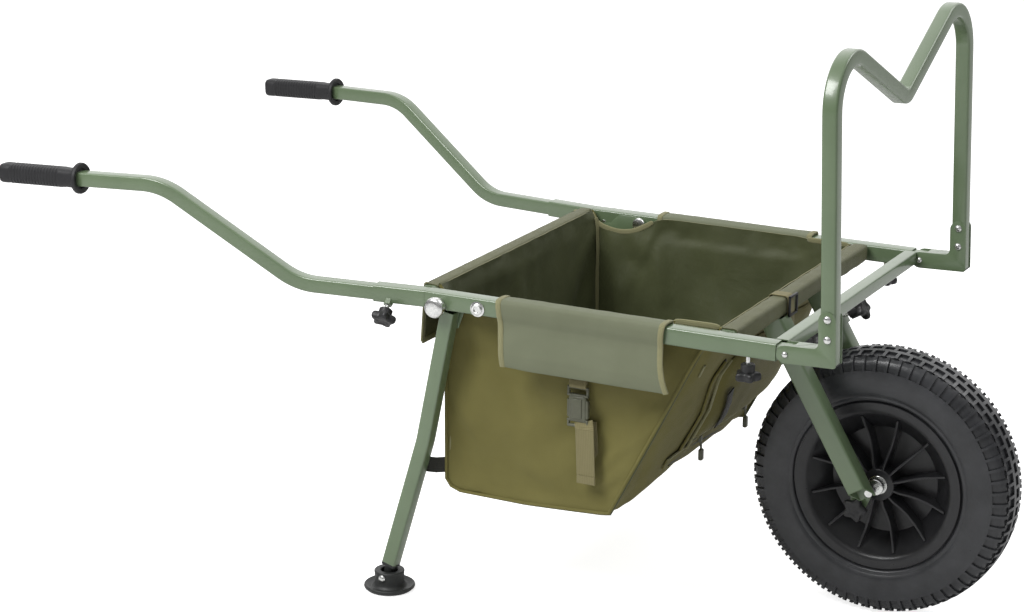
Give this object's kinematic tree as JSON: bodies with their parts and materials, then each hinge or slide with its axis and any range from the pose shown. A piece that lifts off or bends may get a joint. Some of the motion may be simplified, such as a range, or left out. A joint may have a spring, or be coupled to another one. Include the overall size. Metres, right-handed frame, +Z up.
{
  "type": "fishing_trolley",
  "caption": "Folding square-tube fishing barrow with a single pneumatic wheel, hung cloth bag, folding legs, sliding handles and an M-shaped front rack",
  "frame": {"origin": "middle of the bounding box, on the ground", "axes": "+X forward towards the wheel, +Y to the left seen from the handles, +Z up"},
  "size_m": [1.4922, 0.7771, 0.8664],
  "materials": {
    "frame_paint": "semi-gloss sage green enamel on square steel tube",
    "plated_steel": "bright zinc plate on bolts, pins and the axle",
    "black_plastic": "moulded black nylon",
    "grip_rubber": "matt black rubber",
    "tyre_rubber": "black tyre rubber, slightly glossy side walls, block tread",
    "bag_cloth": "coated olive woven cloth",
    "flap_cloth": "coated grey-green woven cloth",
    "webbing": "olive woven webbing"
  },
  "bodies": {
    "frame": {"rail_left": "frame_paint", "rail_right": "frame_paint", "rear_tube": "frame_paint", "front_tube": "frame_paint", "front_bar": "frame_paint", "handle_socket_left": "frame_paint", "handle_socket_right": "frame_paint", "fork_socket_left": "frame_paint", "fork_socket_right": "frame_paint", "leg_pivot_bolt_left": "plated_steel", "leg_pivot_bolt_right": "plated_steel", "bag": "bag_cloth", "side_flap_left": "flap_cloth", "side_flap_right": "flap_cloth", "side_strap_left": "webbing", "side_strap_right": "webbing", "side_buckle_left": "black_plastic", "side_buckle_right": "black_plastic"},
    "rack_tongues": {"rack_tongue_left": "plated_steel", "rack_tongue_right": "plated_steel", "rack_pivot_bolt_left": "plated_steel", "rack_pivot_bolt_right": "plated_steel"},
    "rack": {"rack_bar": "frame_paint", "rack_bracket_left": "frame_paint", "rack_bracket_right": "frame_paint", "rack_end_plug_left": "black_plastic", "rack_end_plug_right": "black_plastic", "rack_bolt_left_1": "plated_steel", "rack_bolt_left_2": "plated_steel", "rack_bolt_right_1": "plated_steel", "rack_bolt_right_2": "plated_steel"},
    "fork": {"fork_arm_left": "frame_paint", "fork_arm_right": "frame_paint", "axle": "plated_steel"},
    "wheel": {"rim": "black_plastic", "tyre": "tyre_rubber", "wheel_bearing_left": "plated_steel", "wheel_bearing_right": "plated_steel"},
    "handle_left": {"handle_tube_left": "frame_paint", "grip_left": "grip_rubber"},
    "handle_knob_left": {"handle_knob_left": "black_plastic"},
    "fork_knob_left": {"fork_knob_left": "black_plastic"},
    "axle_knob_left": {"axle_knob_left": "black_plastic"},
    "front_knob_left": {"front_knob_left": "black_plastic"},
    "leg_left": {"leg_left": "frame_paint", "leg_cap_left": "black_plastic", "foot_bolt_left": "plated_steel"},
    "leg_pin_left": {"leg_pin_left": "plated_steel"},
    "foot_left": {"foot_left": "grip_rubber"},
    "handle_right": {"handle_tube_right": "frame_paint", "grip_right": "grip_rubber"},
    "handle_knob_right": {"handle_knob_right": "black_plastic"},
    "fork_knob_right": {"fork_knob_right": "black_plastic"},
    "axle_knob_right": {"axle_knob_right": "black_plastic"},
    "front_knob_right": {"front_knob_right": "black_plastic"},
    "leg_right": {"leg_right": "frame_paint", "leg_cap_right": "black_plastic", "foot_bolt_right": "plated_steel"},
    "leg_pin_right": {"leg_pin_right": "plated_steel"},
    "foot_right": {"foot_right": "grip_rubber"}
  },
  "joints": [
    {"name": "wheel_spin", "type": "hinge", "parent": "fork", "child": "wheel", "pos_m": [0.54731, 0, 0.2], "axis": [0, 1, 0], "continuous": true},
    {"name": "fork_slide", "type": "slide", "parent": "frame", "child": "fork", "axis": [0.5075, 0, -0.8616], "range_m": [0, 0.06]},
    {"name": "rack_slide", "type": "slide", "parent": "frame", "child": "rack_tongues", "axis": [1, 0, 0], "range_m": [0, 0.06]},
    {"name": "rack_fold", "type": "hinge", "parent": "rack_tongues", "child": "rack", "pos_m": [0.49481, 0, 0.4595], "axis": [0, -1, 0], "range_deg": [0, 90]},
    {"name": "handle_slide_left", "type": "slide", "parent": "frame", "child": "handle_left", "axis": [-0.9936, 0.1132, 0], "range_m": [0, 0.06]},
    {"name": "handle_knob_turn_left", "type": "hinge", "parent": "frame", "child": "handle_knob_left", "pos_m": [-0.11832, 0.28106, 0.4595], "axis": [0.08, 0.7026, -0.7071], "range_deg": [0, 360]},
    {"name": "fork_knob_turn_left", "type": "hinge", "parent": "frame", "child": "fork_knob_left", "pos_m": [0.43829, 0.087, 0.40716], "axis": [0.8616, 0, 0.5075], "range_deg": [0, 360]},
    {"name": "axle_knob_turn_left", "type": "hinge", "parent": "fork", "child": "axle_knob_left", "pos_m": [0.52563, 0.0545, 0.16962], "axis": [0, 1, 0], "range_deg": [0, 360]},
    {"name": "front_knob_turn_left", "type": "hinge", "parent": "frame", "child": "front_knob_left", "pos_m": [0.43731, 0.2745, 0.447], "axis": [0, 0, -1], "range_deg": [0, 360]},
    {"name": "leg_fold_left", "type": "hinge", "parent": "frame", "child": "leg_left", "pos_m": [0.02631, 0.2745, 0.457], "axis": [0, -1, 0], "range_deg": [0, 85]},
    {"name": "leg_pin_pull_left", "type": "slide", "parent": "frame", "child": "leg_pin_left", "axis": [0, 1, 0], "range_m": [0, 0.012]},
    {"name": "foot_tilt_left", "type": "hinge", "parent": "leg_left", "child": "foot_left", "pos_m": [-0.12369, 0.285, 0.022], "axis": [0, 1, 0], "range_deg": [-15, 15]},
    {"name": "handle_slide_right", "type": "slide", "parent": "frame", "child": "handle_right", "axis": [-0.9936, -0.1132, 0], "range_m": [0, 0.06]},
    {"name": "handle_knob_turn_right", "type": "hinge", "parent": "frame", "child": "handle_knob_right", "pos_m": [-0.11832, -0.28106, 0.4595], "axis": [0.08, -0.7026, -0.7071], "range_deg": [0, 360]},
    {"name": "fork_knob_turn_right", "type": "hinge", "parent": "frame", "child": "fork_knob_right", "pos_m": [0.43829, -0.087, 0.40716], "axis": [0.8616, 0, 0.5075], "range_deg": [0, 360]},
    {"name": "axle_knob_turn_right", "type": "hinge", "parent": "fork", "child": "axle_knob_right", "pos_m": [0.52563, -0.0545, 0.16962], "axis": [0, 1, 0], "range_deg": [0, 360]},
    {"name": "front_knob_turn_right", "type": "hinge", "parent": "frame", "child": "front_knob_right", "pos_m": [0.43731, -0.2745, 0.447], "axis": [0, 0, -1], "range_deg": [0, 360]},
    {"name": "leg_fold_right", "type": "hinge", "parent": "frame", "child": "leg_right", "pos_m": [0.02631, -0.2745, 0.457], "axis": [0, -1, 0], "range_deg": [0, 85]},
    {"name": "leg_pin_pull_right", "type": "slide", "parent": "frame", "child": "leg_pin_right", "axis": [0, -1, 0], "range_m": [0, 0.012]},
    {"name": "foot_tilt_right", "type": "hinge", "parent": "leg_right", "child": "foot_right", "pos_m": [-0.12369, -0.285, 0.022], "axis": [0, 1, 0], "range_deg": [-15, 15]}
  ]
}
